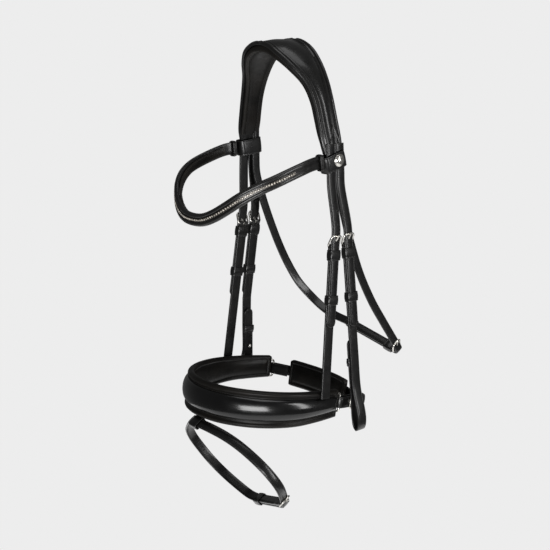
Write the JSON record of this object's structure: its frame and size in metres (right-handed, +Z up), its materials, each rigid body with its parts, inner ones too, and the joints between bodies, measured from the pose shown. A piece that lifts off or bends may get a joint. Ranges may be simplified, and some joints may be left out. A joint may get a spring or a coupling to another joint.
{
  "type": "snaffle bridle",
  "caption": "Full-size snaffle bridle with padded crown, crystal browband, padded flash noseband, buckled cheekpieces and throatlatch, hanging from its crown.",
  "frame": {"origin": "middle of the flat underside of the crown, where it rests behind the horse's ears", "axes": "+Z up along the hanging bridle towards the crown, +X towards the horse's left (near) side, +Y towards the back of the head, so the face looks along -Y"},
  "size_m": [0.2335, 0.2967, 0.6243],
  "materials": {
    "strap_leather": "black bridle leather with a satin sheen",
    "pad_leather": "soft black leather over padding, matt with a fine grain",
    "patent_leather": "black patent leather with a high gloss",
    "chrome": "polished",
    "crystal": "clear cut stones in a bright metal channel"
  },
  "bodies": {
    "headpiece": {"crown_cover": "strap_leather", "crown_pad": "pad_leather"},
    "browband": {"browband_strap": "strap_leather", "browband_lining": "pad_leather", "browband_crystal_row": "crystal", "near_browband_loop": "strap_leather", "off_browband_loop": "strap_leather", "near_browband_keeper": "strap_leather", "off_browband_keeper": "strap_leather", "browband_stud": "chrome"},
    "near_cheekpiece": {"near_cheek_strap": "strap_leather", "near_cheek_billet": "strap_leather", "near_cheek_buckle_frame": "chrome", "near_cheek_fixed_keeper": "strap_leather", "near_bit_hook_stud": "chrome", "near_bit_keeper": "strap_leather"},
    "off_cheekpiece": {"off_cheek_strap": "strap_leather", "off_cheek_billet": "strap_leather", "off_cheek_buckle_frame": "chrome", "off_cheek_fixed_keeper": "strap_leather", "off_bit_hook_stud": "chrome", "off_bit_keeper": "strap_leather"},
    "noseband": {"near_hanger_strap": "strap_leather", "near_noseband_billet": "strap_leather", "near_hanger_buckle_frame": "chrome", "near_hanger_fixed_keeper": "strap_leather", "near_noseband_ring": "chrome", "off_hanger_strap": "strap_leather", "off_noseband_billet": "strap_leather", "off_hanger_buckle_frame": "chrome", "off_hanger_fixed_keeper": "strap_leather", "off_noseband_ring": "chrome", "noseband_pad": "pad_leather", "noseband_cover": "patent_leather", "jaw_pad": "pad_leather", "chin_chape": "strap_leather", "chin_strap": "strap_leather", "chin_buckle_frame": "chrome", "chin_fixed_keeper": "strap_leather"},
    "throatlatch": {"throatlatch_strap": "strap_leather", "throatlatch_billet": "strap_leather", "throatlatch_buckle_frame": "chrome", "throatlatch_fixed_keeper": "strap_leather"},
    "flash": {"flash_tab": "strap_leather", "flash_strap": "strap_leather", "flash_buckle_frame": "chrome", "flash_keeper": "strap_leather"},
    "near_cheek_tongue": {"near_cheek_buckle_tongue": "chrome"},
    "near_cheek_runner_band": {"near_cheek_runner": "strap_leather"},
    "near_hanger_tongue": {"near_hanger_buckle_tongue": "chrome"},
    "near_hanger_runner_band": {"near_hanger_runner": "strap_leather"},
    "off_cheek_tongue": {"off_cheek_buckle_tongue": "chrome"},
    "off_cheek_runner_band": {"off_cheek_runner": "strap_leather"},
    "off_hanger_tongue": {"off_hanger_buckle_tongue": "chrome"},
    "off_hanger_runner_band": {"off_hanger_runner": "strap_leather"},
    "chin_tongue": {"chin_buckle_tongue": "chrome"},
    "throatlatch_tongue": {"throatlatch_buckle_tongue": "chrome"},
    "throatlatch_runner_band": {"throatlatch_runner": "strap_leather"},
    "flash_tongue": {"flash_buckle_tongue": "chrome"}
  },
  "joints": [
    {"name": "browband_slide", "type": "slide", "parent": "headpiece", "child": "browband", "axis": [0, 0, 1], "range_m": [-0.008, 0]},
    {"name": "near_cheek_swing", "type": "hinge", "parent": "headpiece", "child": "near_cheekpiece", "pos_m": [0.0896, 0.0325, -0.162], "axis": [0, -1, 0], "range_deg": [0, 25]},
    {"name": "off_cheek_swing", "type": "hinge", "parent": "headpiece", "child": "off_cheekpiece", "pos_m": [-0.0896, 0.0325, -0.162], "axis": [0, 1, 0], "range_deg": [0, 25]},
    {"name": "noseband_swing", "type": "hinge", "parent": "headpiece", "child": "noseband", "pos_m": [0, 0.0175, -0.162], "axis": [-1, 0, 0], "range_deg": [0, 8]},
    {"name": "flash_swing", "type": "hinge", "parent": "noseband", "child": "flash", "pos_m": [0, -0.1265, -0.4605], "axis": [1, 0, 0], "range_deg": [-15, 10]},
    {"name": "throatlatch_swing", "type": "hinge", "parent": "headpiece", "child": "throatlatch", "pos_m": [0, 0.034, -0.163], "axis": [1, 0, 0], "range_deg": [0, 20]},
    {"name": "near_cheek_tongue_lift", "type": "hinge", "parent": "near_cheekpiece", "child": "near_cheek_tongue", "pos_m": [0.0898, 0.044, -0.23805], "axis": [0, 0.9993, 0.0366], "range_deg": [0, 20]},
    {"name": "near_cheek_runner_slide", "type": "slide", "parent": "near_cheekpiece", "child": "near_cheek_runner_band", "axis": [-0.0802, -0.0364, 0.9961], "range_m": [-0.015, 0.03]},
    {"name": "near_hanger_tongue_lift", "type": "hinge", "parent": "noseband", "child": "near_hanger_tongue", "pos_m": [0.0898, 0.021, -0.23803], "axis": [0, 0.9946, -0.1035], "range_deg": [0, 20]},
    {"name": "near_hanger_runner_slide", "type": "slide", "parent": "noseband", "child": "near_hanger_runner_band", "axis": [-0.0547, 0.1034, 0.9931], "range_m": [-0.015, 0.03]},
    {"name": "off_cheek_tongue_lift", "type": "hinge", "parent": "off_cheekpiece", "child": "off_cheek_tongue", "pos_m": [-0.0898, 0.0375, -0.23605], "axis": [0, -0.9968, 0.0795], "range_deg": [0, 20]},
    {"name": "off_cheek_runner_slide", "type": "slide", "parent": "off_cheekpiece", "child": "off_cheek_runner_band", "axis": [0.0781, 0.0793, 0.9938], "range_m": [-0.015, 0.03]},
    {"name": "off_hanger_tongue_lift", "type": "hinge", "parent": "noseband", "child": "off_hanger_tongue", "pos_m": [-0.0898, 0.0165, -0.23603], "axis": [0, -0.9942, 0.1079], "range_deg": [0, 20]},
    {"name": "off_hanger_runner_slide", "type": "slide", "parent": "noseband", "child": "off_hanger_runner_band", "axis": [0.0541, 0.1078, 0.9927], "range_m": [-0.015, 0.03]},
    {"name": "chin_tongue_lift", "type": "hinge", "parent": "noseband", "child": "chin_tongue", "pos_m": [0.0876, 0.06314, -0.45428], "axis": [0, 0.1483, 0.9889], "range_deg": [0, 10]},
    {"name": "throatlatch_tongue_lift", "type": "hinge", "parent": "throatlatch", "child": "throatlatch_tongue", "pos_m": [0.08021, 0.14971, -0.40152], "axis": [-0.0241, 0.8474, 0.5304], "range_deg": [0, 20]},
    {"name": "throatlatch_runner_slide", "type": "slide", "parent": "throatlatch", "child": "throatlatch_runner_band", "axis": [0.9363, 0.2051, -0.2851], "range_m": [-0.004, 0.03]},
    {"name": "flash_tongue_lift", "type": "hinge", "parent": "flash", "child": "flash_tongue", "pos_m": [0.07577, -0.04726, -0.57293], "axis": [0, 0.8486, 0.5291], "range_deg": [0, 20]}
  ]
}
